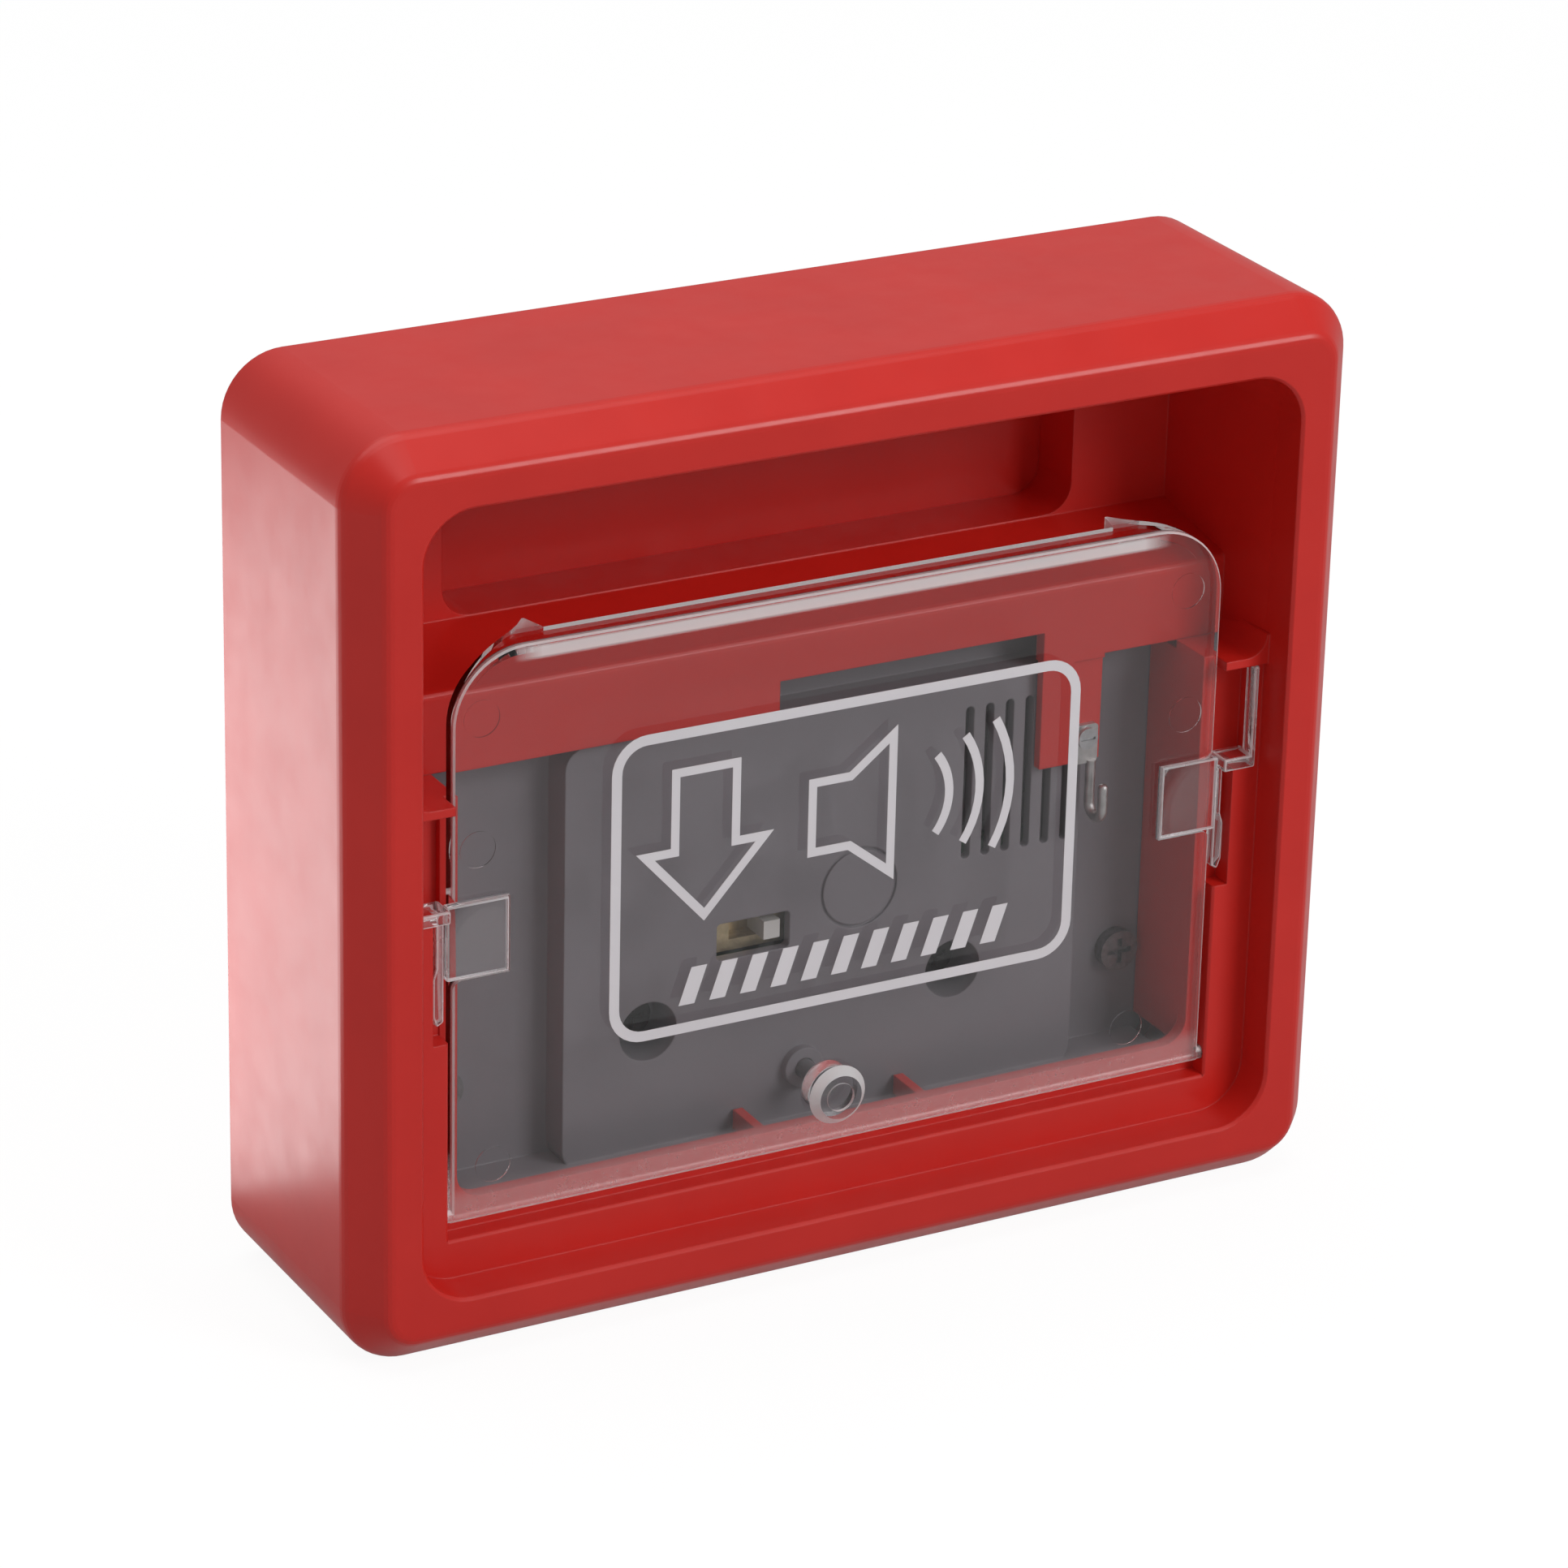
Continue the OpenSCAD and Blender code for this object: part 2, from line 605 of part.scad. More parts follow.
module alarm_base() {
    top = panel_d + panel_t;
    color(grey) difference() {
        union() {
            difference() {
                slab(top, base_d) rect(-tray_x, tray_x, tray_z0, tray_z1, 2);
                slab(top - 1, base_d - floor_t)
                    rect(-tray_x + 1.6, tray_x - 1.6, tray_z0 + 1.6, tray_z1 - 1.6, 1);
            }
            for (x = [-fix_x, fix_x], z = [fix_z0, fix_z1]) bar(x, z, top, base_d - eps, 3.2);
            for (x = [-disc_x, disc_x]) bar(x, disc_z, board_d + board_t, base_d - eps, 3.4);
            // ring that holds the sounder
            bar(slots_x, slots_z, base_d - floor_t - 3, base_d - eps, sounder_r + 1.4);
        }
        for (x = [-fix_x, fix_x], z = [fix_z0, fix_z1]) bar(x, z, top - 1, base_d + 1, 1.6);
        for (x = [-disc_x, disc_x]) bar(x, disc_z, board_d, base_d - 1, 1.25);
        bar(slots_x, slots_z, base_d - floor_t - 4, base_d - floor_t, sounder_r + 0.1);
    }
}

board_x0 = block_x0 + 2.2;
board_x1 = block_x1 - 2.2;
board_z0 = block_z0 + 6.2;
board_z1 = battery_z0 - 0.3;

module circuit_board() {
    color("#2f6b46") difference() {
        slab(board_d, board_d + board_t) rect(board_x0, board_x1, board_z0, board_z1);
        for (x = [-disc_x, disc_x]) bar(x, disc_z, board_d - 1, board_d + board_t + 1, 1.6);
    }
    color("#222222") {
        slab(board_d - 2.2, board_d + eps) rect(5, 10.6, board_z0 + 8, board_z0 + 17);
        bar(-15, board_z0 + 8, board_d - 5.5, board_d + eps, 3.1);
        bar(33.5, board_z0 + 18, board_d - 4.6, board_d + eps, 2.4);
    }
    color("#c9a46a") for (i = [0:2])
        slab(board_d - 1.6, board_d + eps) rect(12.6, 16.8, board_z0 + 9 + i * 3.6, board_z0 + 10.4 + i * 3.6);
}

sounder_r = 12;
sounder_h = 8.2;

module sounder() {
    d1 = base_d - floor_t;
    color("#1c1c1c") difference() {
        union() {
            bar(slots_x, slots_z, d1 - sounder_h, d1, sounder_r);
            bar(slots_x, slots_z, d1 - sounder_h - 0.8, d1, sounder_r - 1.5);
            slab(d1 - 6.4, d1 - 3.6) rect(slots_x - 3.2, slots_x + 3.2, slots_z - sounder_r - 0.6, slots_z);
        }
        bar(slots_x, slots_z, d1 - sounder_h - 1.5, d1 - 2.4, 1.6);
    }
}

module battery() {
    x1 = battery_x0 + battery_l;
    zm = battery_z0 + battery_w / 2;
    dm = battery_d1 - battery_h / 2;
    color("#30343a") slab(battery_d1 - battery_h, battery_d1)
        rect(battery_x0, x1, battery_z0, battery_z0 + battery_w, 1.2);
    color(steel) for (s = [-1, 1])
        translate([x1 - eps, y_of(dm), z_of(zm + s * 6.35)]) rotate([0, 90, 0])
            cylinder(h = 1.8, r = s > 0 ? 2.9 : 3.6);
}

module battery_snap() {
    x1 = battery_x0 + battery_l + 0.2;
    zm = battery_z0 + battery_w / 2;
    dm = battery_d1 - battery_h / 2;
    color("#1c1c1c") difference() {
        across(x1, x1 + 2.9) difference() {
            rect(dm - 5.5, dm + 5.5, zm - 12.2, zm + 12.2, 2.5);
        }
        for (s = [-1, 1]) translate([x1 - 1, y_of(dm), z_of(zm + s * 6.35)]) rotate([0, 90, 0])
            cylinder(h = 2.7, r = (s > 0 ? 2.9 : 3.6) + 0.05);
    }
}

module battery_leads() {
    x1 = battery_x0 + battery_l + 3.1;
    zm = battery_z0 + battery_w / 2;
    dm = battery_d1 - battery_h / 2;
    bx = x1 + 0.9;
    color("#a01818") wire([[x1, dm - 2.4, zm - 8], [bx, dm - 2.4, zm - 8], [bx, dm - 2.4, board_z1 - 2.2],
        [bx, board_d, board_z1 - 2.2]], 0.6);
    color("#181818") wire([[x1, dm + 2, zm - 8], [bx, dm + 2, zm - 8], [bx, dm + 2, board_z1 - 5],
        [bx, board_d + board_t, board_z1 - 5]], 0.6);
}

module sounder_leads() {
    d1 = base_d - floor_t;
    for (s = [-1, 1]) color(s > 0 ? "#a01818" : "#181818")
        wire([[slots_x + s * 2, d1 - 5, slots_z - sounder_r - 0.6], [slots_x + s * 2, d1 - 5, board_z1 - 3],
            [slots_x + s * 2, board_d + board_t, board_z1 - 3]], 0.6);
}

// Switches

knob_w = 2.4;
knob_travel = 4;
knob_mid = switch_x + 1.2;

module slide_switch_body() {
    w = window_w + 1.6;
    color("#b8954f") difference() {
        slab(micro_d - 1.4, board_d) rect(switch_x - w / 2, switch_x + w / 2, switch_z - 2.9, switch_z + 2.9);
        slab(micro_d - 2, micro_d + 1.2) rect(knob_mid - knob_travel / 2 - knob_w / 2 - run,
            knob_mid + knob_travel / 2 + knob_w / 2 + run, switch_z - 1.3 - run, switch_z + 1.3 + run);
    }
}

module slide_switch_knob() {
    x = knob_mid + knob_travel / 2;
    color("#f2f2ee") slab(block_d + 0.8, micro_d + 1.1)
        rect(x - knob_w / 2, x + knob_w / 2, switch_z - 1.3, switch_z + 1.3);
}

module microswitch_body() {
    color("#26282b") difference() {
        slab(micro_d, board_d) rect(-2.2, 6, boss_at - 1.4, boss_at + 1.4);
        bar(0, boss_at, micro_d - 1, micro_d + 2.2, 0.9 + run);
        for (x = [-2.2, 6]) slab(micro_d + 3, board_d - 1) rect(x - 0.6, x + 0.6, boss_at - 0.5, boss_at + 0.5);
    }
}

module microswitch_button() {
    color("#d8d4c8") bar(0, boss_at, pin_flange_d + 0.8, micro_d + 2.1, 0.9);
}

module cover_switch_pin() {
    color("#e4e2dc") {
        bar(0, boss_at, post_d + 0.05, pin_flange_d + 0.8, pin_r);
        bar(0, boss_at, pin_flange_d, pin_flange_d + 0.8, 1.9);
    }
}

// Key hook

hook_x = lug_x1 - 2.5;
hook_z = shelf_z - 12.4;
hook_d = beam_d + 0.5;

// Flat pad under the screw, with a wire shank and an upturned bend that the key ring hangs on
module key_hook() {
    r = hook_dia / 2;
    x = hook_x + 0.9;
    low = hook_z - 2.6 - hook_l;
    color(steel) difference() {
        union() {
            slab(hook_d - 0.8, hook_d) rect(hook_x - 1.8, hook_x + 1.8, hook_z - 3, hook_z + 2.6, 0.6);
            translate([x, y_of(hook_d - r), z_of(low)]) cylinder(h = hook_l, r = r);
            translate([x, y_of(hook_d - r - hook_bend), z_of(low)]) rotate([90, 0, -90])
                rotate([0, 0, 180]) rotate_extrude(angle = 180) translate([hook_bend, 0]) circle(r);
            translate([x, y_of(hook_d - r - 2 * hook_bend), z_of(low)]) cylinder(h = 3, r = r);
            translate([x, y_of(hook_d - r - 2 * hook_bend), z_of(low + 3)]) sphere(r);
        }
        bar(hook_x - 0.2, hook_z + 0.9, hook_d - 2, hook_d + 1, 0.95);
    }
}

module hook_screw() {
    d0 = hook_d - 0.8;
    color(steel) difference() {
        union() {
            bar(hook_x - 0.2, hook_z + 0.9, d0 - 0.9, d0, 1.5);
            bar(hook_x - 0.2, hook_z + 0.9, d0 - eps, beam_d + lug_t, 0.85);
        }
        slab(d0 - 2, d0 - 0.5) rect(hook_x - 1.3, hook_x + 0.9, hook_z + 0.7, hook_z + 1.1);
    }
}

// Screws

module panel_screws() {
    color(steel) for (x = [-disc_x, disc_x]) screw(x, disc_z, board_d - 4.8, 12, 2.9, 1.8, 1.2);
}

module alarm_screws() {
    color(steel) for (x = [-fix_x, fix_x], z = [fix_z0, fix_z1])
        screw(x, z, panel_d - 1.8, case_d - 1 - panel_d + 1.8, 2.9, 1.8, 1.2);
}

module case_screws() {
    color(steel) for (x = [-case_screw_x, case_screw_x]) translate([x, y_of(case_screw_d), 0.3]) difference() {
        union() {
            cylinder(h = 1.9, r = 2.9);
            cylinder(h = 10.4, r = 1.2);
        }
        translate([-0.4, -1.8, -1]) cube([0.8, 3.6, 1.8]);
        translate([-1.8, -0.4, -1]) cube([3.6, 0.8, 1.8]);
    }
}

front_housing();
back_plate();
clear_cover();
left_break_tab();
right_break_tab();
left_tab_clip();
right_tab_clip();
alarm_front();
alarm_base();
circuit_board();
sounder();
sounder_leads();
battery();
battery_snap();
battery_leads();
slide_switch_body();
slide_switch_knob();
microswitch_body();
microswitch_button();
cover_switch_pin();
key_hook();
hook_screw();
panel_screws();
alarm_screws();
case_screws();
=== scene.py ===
"""Alarmed key box with a clear pull-out cover: finishes, softened edges, print, lamps and camera.

Places are given as on the front drawing: x to the right, d behind the front of the rim and z up from the middle
of the box, in millimetres. One function turns them into metres of the shared frame.
"""

import logging
import math
from dataclasses import dataclass, field
from enum import Enum
from typing import Optional, Sequence

import bmesh
import bpy
from mathutils import Matrix, Vector


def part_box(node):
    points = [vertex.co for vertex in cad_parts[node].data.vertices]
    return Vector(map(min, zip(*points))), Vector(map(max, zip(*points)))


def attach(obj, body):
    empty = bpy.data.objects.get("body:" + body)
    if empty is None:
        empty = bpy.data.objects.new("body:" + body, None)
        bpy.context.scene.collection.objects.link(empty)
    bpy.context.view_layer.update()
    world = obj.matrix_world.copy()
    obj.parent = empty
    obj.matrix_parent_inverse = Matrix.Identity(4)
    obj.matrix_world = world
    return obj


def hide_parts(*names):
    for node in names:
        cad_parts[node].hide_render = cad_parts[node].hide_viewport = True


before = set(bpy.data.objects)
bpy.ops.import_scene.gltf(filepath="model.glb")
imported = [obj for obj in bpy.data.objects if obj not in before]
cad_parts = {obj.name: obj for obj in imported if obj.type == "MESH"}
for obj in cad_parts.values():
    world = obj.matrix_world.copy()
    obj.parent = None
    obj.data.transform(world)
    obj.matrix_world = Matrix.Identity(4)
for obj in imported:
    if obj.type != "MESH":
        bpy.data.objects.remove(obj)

MM = 0.001
HALF_DEPTH = 20.5
HALF_HEIGHT = 63.25
LOG = logging.getLogger("key_box")

Pair = tuple[float, float]
Triple = tuple[float, float, float]
Colour = Triple
Socket = bpy.types.NodeSocket

# Doubles closer than this are merged
MERGE = 0.001 * MM
# Transmission of the clear plastic for lamps and for light off matt faces
CLEAR_PASS = (0.86, 0.86, 0.87, 1)
# Frost: size and least share of its patches, added roughness, and share that stays clear
FROST_GRAIN, FROST_LEAST, FROST_ROUGH, FROST_CLEAR = 1.5, 0.8, 0.26, 0.9
# Narrow side faces: parts of the normal along the depth between which a face counts as one, and what they turn it into
NARROW_SIDE, NARROW_FLAT, NARROW_ROUGH, NARROW_CLEAR = 0.72, 0.95, 0.3, 0.35
# Back of the flange: how far behind the rim it starts and ends its change, and what it turns it into
BACK_START, BACK_END, BACK_ROUGH, BACK_CLEAR = 4.0, 4.2, 0.4, 0.8
# Sky's strength as light, in gloss and through clear pieces, and to the camera
SKY_LIGHT, SKY_GLOSS, SKY_SEEN = 0.28, 0.4, 1.0
# Floor's glow in gloss and through clear pieces, to the camera, and its share beside the floor's own matt face
FLOOR_GLOSS, FLOOR_SEEN, FLOOR_SHARE = 0.45, 1.1, 0.85
WHITE = (1, 1, 1, 1)
# Painted highlight band, a pale milky strip along the top of the cover's front that stands in for the light the
# flange's edge catches: part of its half height that is full, fading length at its ends, depths that end it, and what
# it turns it into
PAINTED_BAND_FULL, PAINTED_BAND_FADE, PAINTED_BAND_DEPTHS, PAINTED_BAND_ROUGH, PAINTED_BAND_CLEAR = 0.55, 4.0, (7.4, 7.6), 0.2, 0.35


def place(x: float, d: float, z: float) -> Vector:
    """Point of the front drawing, in metres of the shared frame."""
    return Vector((x * MM, (d - HALF_DEPTH) * MM, (z + HALF_HEIGHT) * MM))


class Surface(Enum):
    """How a moulded face left its tool."""

    POLISHED = "polished"
    SATIN = "satin"
    SPARKED = "sparked"


@dataclass(frozen=True)
class Tooling:
    """Grain of a tool's face: size of the grain in millimetres, height of its bump, and spread of roughness."""

    grain: float
    bump: float
    spread: float


TOOLING: dict[Surface, Tooling] = {
    Surface.POLISHED: Tooling(grain=3.0, bump=0.015, spread=0.03),
    Surface.SATIN: Tooling(grain=0.5, bump=0.02, spread=0.06),
    Surface.SPARKED: Tooling(grain=0.16, bump=0.08, spread=0.1),
}


class Nodes:
    """Builds a material's or world's node tree, one node after another."""

    def __init__(self, tree: bpy.types.NodeTree) -> None:
        """Empties the tree.

        Args:
            tree: The node tree to build in.
        """
        self.tree = tree
        tree.nodes.clear()
        self.column = 0

    def add(self, kind: str, inputs: Optional[dict] = None, **settings: object) -> bpy.types.Node:
        """Adds a node.

        Args:
            kind: Blender's name of the node type, without its ShaderNode prefix.
            inputs: Values or output sockets for the node's inputs, by name or number.
            settings: Values for the node's own properties.

        Returns:
            The new node.
        """
        node = self.tree.nodes.new("ShaderNode" + kind)
        node.location = (self.column, 0)
        self.column += 200
        for name, value in settings.items():
            setattr(node, name, value)
        for name, value in (inputs or {}).items():
            if isinstance(value, Socket):
                self.tree.links.new(value, node.inputs[name])
            else:
                node.inputs[name].default_value = value
        return node

    def here(self) -> Socket:
        """Object coordinates, which are metres of the shared frame."""
        return self.add("TexCoord").outputs["Object"]

    def noise(self, grain: float, detail: float = 2.0, stretch: Sequence[float] = (1, 1, 1)) -> Socket:
        """Noise value over the object.

        Args:
            grain: Size of the noise's blobs in millimetres.
            detail: Number of finer layers.
            stretch: Factors on the coordinates, for drawn-out grain.

        Returns:
            The noise's value socket.
        """
        mapped = self.add("Mapping", {"Vector": self.here(), "Scale": stretch})
        inputs = {"Vector": mapped.outputs[0], "Scale": 1 / (grain * MM), "Detail": detail}
        return self.add("TexNoise", inputs).outputs[0]

    def between(
        self, value: Socket, low: float, high: float, start: float = 0.3, end: float = 0.7
    ) -> Socket:
        """Maps a value to a range.

        Args:
            value: The value to map.
            low: Result at and below start.
            high: Result at and above end.
            start: Lower end of what is mapped.
            end: Upper end of what is mapped.

        Returns:
            The mapped value's socket.
        """
        mapped = self.add(
            "MapRange", {"Value": value, "From Min": start, "From Max": end, "To Min": low, "To Max": high}
        )
        return mapped.outputs[0]

    def ramp(self, mask: Socket, low: float, high: float) -> Socket:
        """Goes from low to high as a mask goes from 0 to 1."""
        return self.between(mask, low, high, 0, 1)

    def size(self, value: Socket) -> Socket:
        """A value without its sign."""
        return self.add("Math", {0: value}, operation="ABSOLUTE").outputs[0]

    def total(self, first: Socket, second: Socket) -> Socket:
        """Sum of two values."""
        return self.add("Math", {0: first, 1: second}, operation="ADD").outputs[0]

    def product(self, first: Socket, second: Socket) -> Socket:
        """Product of two values."""
        return self.add("Math", {0: first, 1: second}, operation="MULTIPLY").outputs[0]

    def blend(self, fac: Socket, first: Colour, second: Colour) -> Socket:
        """Colour that goes from first to second as fac goes from 0 to 1."""
        mix = self.add("Mix", {0: fac, 6: (*first, 1), 7: (*second, 1)}, data_type="RGBA")
        return mix.outputs[2]

    def bump(self, height: Socket, strength: float, depth: float, edge: float = 0.0) -> Socket:
        """Normal bent by a height, and by a small rounding along the edges.

        Args:
            height: The height's socket, 0 to 1.
            strength: Share of the bump that shows.
            depth: Height of the bump in millimetres.
            edge: Radius of the edges' rounding in millimetres.

        Returns:
            The normal's socket.
        """
        inputs = {"Height": height, "Strength": strength, "Distance": depth * MM}
        if edge > 0:
            inputs["Normal"] = self.add("Bevel", {"Radius": edge * MM}, samples=4).outputs[0]
        return self.add("Bump", inputs).outputs[0]

    def seen(self, *rays: str) -> Socket:
        """One for any of the named kinds of ray, else nought."""
        path = self.add("LightPath")
        total = path.outputs[rays[0]]
        for ray in rays[1:]:
            total = self.add("Math", {0: total, 1: path.outputs[ray]}, operation="MAXIMUM").outputs[0]
        return total

    def out(self, shader: Socket, kind: str = "OutputMaterial") -> None:
        """Ends the tree with a surface."""
        self.add(kind, {"Surface": shader})


@dataclass(frozen=True)
class Finish:
    """What a piece is made of and how it is finished."""

    name: str

    def paint(self, n: Nodes) -> Socket:
        """Builds the finish's nodes and returns its shader."""
        raise NotImplementedError

    def material(self) -> bpy.types.Material:
        """The finish as a material, made once."""
        made = bpy.data.materials.get(self.name)
        if made is None:
            made = bpy.data.materials.new(self.name)
            made.use_nodes = True
            n = Nodes(made.node_tree)
            n.out(self.paint(n))
        return made


@dataclass(frozen=True)
class Moulded(Finish):
    """Moulded plastic: two near tones, a roughness and the tool's face."""

    colour: Colour
    tone: Colour
    roughness: float
    surface: Surface = Surface.SATIN
    specular: float = 0.5
    edge: float = 0.0

    def paint(self, n: Nodes) -> Socket:
        """Builds the finish's nodes and returns its shader."""
        tool = TOOLING[self.surface]
        cloud = n.noise(14.0, 3.0)
        colour = n.blend(n.between(cloud, 0, 1), self.colour, self.tone)
        rough = n.between(n.noise(5.0, 4.0), self.roughness - tool.spread / 2, self.roughness + tool.spread / 2)
        normal = n.bump(n.noise(tool.grain, 2.0), tool.bump, 0.05, self.edge)
        shader = n.add(
            "BsdfPrincipled",
            {"Base Color": colour, "Roughness": rough, "Normal": normal, "Specular IOR Level": self.specular},
        )
        return shader.outputs[0]


@dataclass(frozen=True)
class Clear(Finish):
    """Clear moulded plastic that lets lamps through to what is behind it.

    It may be frosted low down, milky on its narrow side faces, and pale in a band where it turns into a flange: a
    painted highlight that stands in for the light the flange's edge catches. Frost is a range of heights, rim a range
    of depths, and the painted highlight band a middle height, half height and half width, all in millimetres of the
    front drawing.
    """

    tint: Colour
    roughness: float
    milk: float = 0.0
    ior: float = 1.5
    frost: Optional[Pair] = None
    rim: Optional[Pair] = None
    highlight_band: Optional[Triple] = None

    def frosted(self, n: Nodes, rough: Socket, clear: Socket) -> tuple[Socket, Socket]:
        """Roughness and clearness with the frost on them."""
        low, high = ((z + HALF_HEIGHT) * MM for z in self.frost)
        height = n.add("SeparateXYZ", {0: n.here()}).outputs[2]
        patchy = n.between(n.noise(FROST_GRAIN, 3.0), FROST_LEAST, 1.0)
        mask = n.product(patchy, n.between(height, 1, 0, low, high))
        return n.total(rough, n.ramp(mask, 0, FROST_ROUGH)), n.product(clear, n.ramp(mask, 1, FROST_CLEAR))

    def rimmed(self, n: Nodes, rough: Socket, clear: Socket) -> tuple[Socket, Socket]:
        """Roughness and clearness with the narrow side faces and the flange's back milky."""
        low, high = ((d - HALF_DEPTH) * MM for d in self.rim)
        depth = n.add("SeparateXYZ", {0: n.here()}).outputs[1]
        across = n.add("SeparateXYZ", {0: n.add("TexCoord").outputs["Normal"]}).outputs[1]
        side = n.between(n.size(across), 1, 0, NARROW_SIDE, NARROW_FLAT)
        narrow = n.product(side, n.between(depth, 1, 0, low, high))
        back = n.between(depth, 0, 1, high + BACK_START * MM, high + BACK_END * MM)
        rough = n.total(rough, n.total(n.ramp(narrow, 0, NARROW_ROUGH), n.ramp(back, 0, BACK_ROUGH)))
        clear = n.product(clear, n.product(n.ramp(narrow, 1, NARROW_CLEAR), n.ramp(back, 1, BACK_CLEAR)))
        return rough, clear

    def painted_highlight(self, n: Nodes, rough: Socket, clear: Socket) -> tuple[Socket, Socket]:
        """Roughness and clearness with the painted highlight band on them: a pale milky strip at the top of the front
        face.
        """
        middle, half, reach = self.highlight_band
        split = n.add("SeparateXYZ", {0: n.here()})
        height = n.add("Math", {0: split.outputs[2], 1: (middle + HALF_HEIGHT) * MM}, operation="SUBTRACT")
        off = n.size(height.outputs[0])
        out = n.size(split.outputs[0])
        mask = n.product(
            n.between(off, 1, 0, half * PAINTED_BAND_FULL * MM, half * MM),
            n.between(out, 1, 0, (reach - PAINTED_BAND_FADE) * MM, reach * MM),
        )
        start, end = ((d - HALF_DEPTH) * MM for d in PAINTED_BAND_DEPTHS)
        mask = n.product(mask, n.between(split.outputs[1], 1, 0, start, end))
        return n.total(rough, n.ramp(mask, 0, PAINTED_BAND_ROUGH)), n.product(clear, n.ramp(mask, 1, PAINTED_BAND_CLEAR))

    def paint(self, n: Nodes) -> Socket:
        """Builds the finish's nodes and returns its shader."""
        rough = n.between(n.noise(9.0, 4.0), self.roughness * 0.6, self.roughness * 1.6)
        normal = n.bump(n.noise(26.0, 1.0), 0.12, 0.12)
        clear = n.between(n.noise(6.0, 2.0), 1 - self.milk, 1 - self.milk * 0.8)
        for zone, change in ((self.frost, self.frosted), (self.rim, self.rimmed), (self.highlight_band, self.painted_highlight)):
            if zone:
                rough, clear = change(n, rough, clear)
        glass = n.add(
            "BsdfPrincipled",
            {
                "Base Color": (*self.tint, 1),
                "Roughness": rough,
                "IOR": self.ior,
                "Transmission Weight": clear,
                "Normal": normal,
            },
        )
        through = n.add("BsdfTransparent", {"Color": CLEAR_PASS})
        lamps = n.seen("Is Shadow Ray", "Is Diffuse Ray")
        return n.add("MixShader", {0: lamps, 1: glass.outputs[0], 2: through.outputs[0]}).outputs[0]


@dataclass(frozen=True)
class Metal(Finish):
    """Plated or bare metal with a drawn grain and a few dull patches."""

    colour: Colour
    dull: Colour
    roughness: float
    stretch: Triple = (1.0, 1.0, 1.0)

    def paint(self, n: Nodes) -> Socket:
        """Builds the finish's nodes and returns its shader."""
        patches = n.between(n.noise(1.6, 4.0), 0, 1, 0.4, 0.75)
        colour = n.blend(patches, self.colour, self.dull)
        rough = n.between(n.noise(0.8, 3.0, self.stretch), self.roughness * 0.75, self.roughness * 1.35)
        normal = n.bump(n.noise(0.3, 3.0, self.stretch), 0.1, 0.02)
        inputs = {"Base Color": colour, "Roughness": rough, "Metallic": 1.0, "Normal": normal}
        return n.add("BsdfPrincipled", inputs).outputs[0]


RED_SHELL = Moulded("red_shell", (0.66, 0.021, 0.014), (0.62, 0.018, 0.012), 0.33, specular=0.42, edge=0.3)
GREY_UNIT = Moulded("grey_unit", (0.232, 0.214, 0.23), (0.212, 0.195, 0.21), 0.5, Surface.SPARKED, edge=0.35)
BLACK_PART = Moulded("black_part", (0.015, 0.015, 0.017), (0.02, 0.02, 0.021), 0.42)
WHITE_PART = Moulded("white_part", (0.75, 0.73, 0.69), (0.71, 0.69, 0.65), 0.38)
PRINT_INK = Moulded("print_ink", (0.78, 0.75, 0.78), (0.74, 0.71, 0.74), 0.5, Surface.SPARKED)
GREEN_BOARD = Moulded("green_board", (0.02, 0.11, 0.045), (0.015, 0.085, 0.035), 0.3, Surface.POLISHED)
BATTERY_CAN = Moulded("battery_can", (0.02, 0.028, 0.045), (0.026, 0.034, 0.05), 0.28, Surface.POLISHED)
RED_LEAD = Moulded("red_lead", (0.42, 0.012, 0.01), (0.38, 0.01, 0.009), 0.45)
CLEAR_COVER = Clear(
    "clear_cover_plastic",
    (0.985, 0.98, 0.985),
    0.02,
    frost=(-43.6, -41.5),
    rim=(7.0, 7.4),
    # Painted highlight: a pale band along the top of the front face, where the flange's edge catches the light
    highlight_band=(31.0, 1.05, 48.0),
)
CLEAR_TAB = Clear("clear_tab_plastic", (0.975, 0.97, 0.975), 0.05, 0.02)
TAB_EDGE = Clear("clear_tab_edge", (0.95, 0.93, 0.94), 0.25, 0.5)
ZINC = Metal("zinc_plate", (0.5, 0.5, 0.51), (0.36, 0.36, 0.36), 0.42)
BLACKED = Metal("blackened_steel", (0.035, 0.034, 0.034), (0.06, 0.058, 0.056), 0.4)
PIN_PLASTIC = Moulded("pin_plastic", (0.16, 0.155, 0.16), (0.14, 0.135, 0.14), 0.45)
DULL_STEEL = Metal("dull_steel", (0.24, 0.23, 0.235), (0.17, 0.165, 0.17), 0.48)
NICKEL = Metal("nickel_wire", (0.55, 0.53, 0.52), (0.4, 0.39, 0.38), 0.38, (1.0, 1.0, 0.15))
BRASS = Metal("tinned_brass", (0.62, 0.5, 0.3), (0.45, 0.36, 0.22), 0.42)


def finished(
    name: str, bm: bmesh.types.BMesh, finish: Finish, body: str, smooth: float = 30.0
) -> bpy.types.Object:
    """Turns a mesh in the making into a piece that rides on a body.

    Args:
        name: The piece's name.
        bm: The mesh, in metres of the shared frame. It is freed.
        finish: The finish that dresses it.
        body: The body that it moves with.
        smooth: Angle in degrees up to which faces are shaded as one.

    Returns:
        The piece.
    """
    mesh = bpy.data.meshes.new(name)
    bm.to_mesh(mesh)
    bm.free()
    piece = bpy.data.objects.new(name, mesh)
    bpy.context.scene.collection.objects.link(piece)
    mesh.materials.append(finish.material())
    mesh.polygons.foreach_set("use_smooth", [True] * len(mesh.polygons))
    mesh.set_sharp_from_angle(angle=math.radians(smooth))
    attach(piece, body)
    LOG.info("%s: %d faces on %s", name, len(mesh.polygons), body)
    return piece


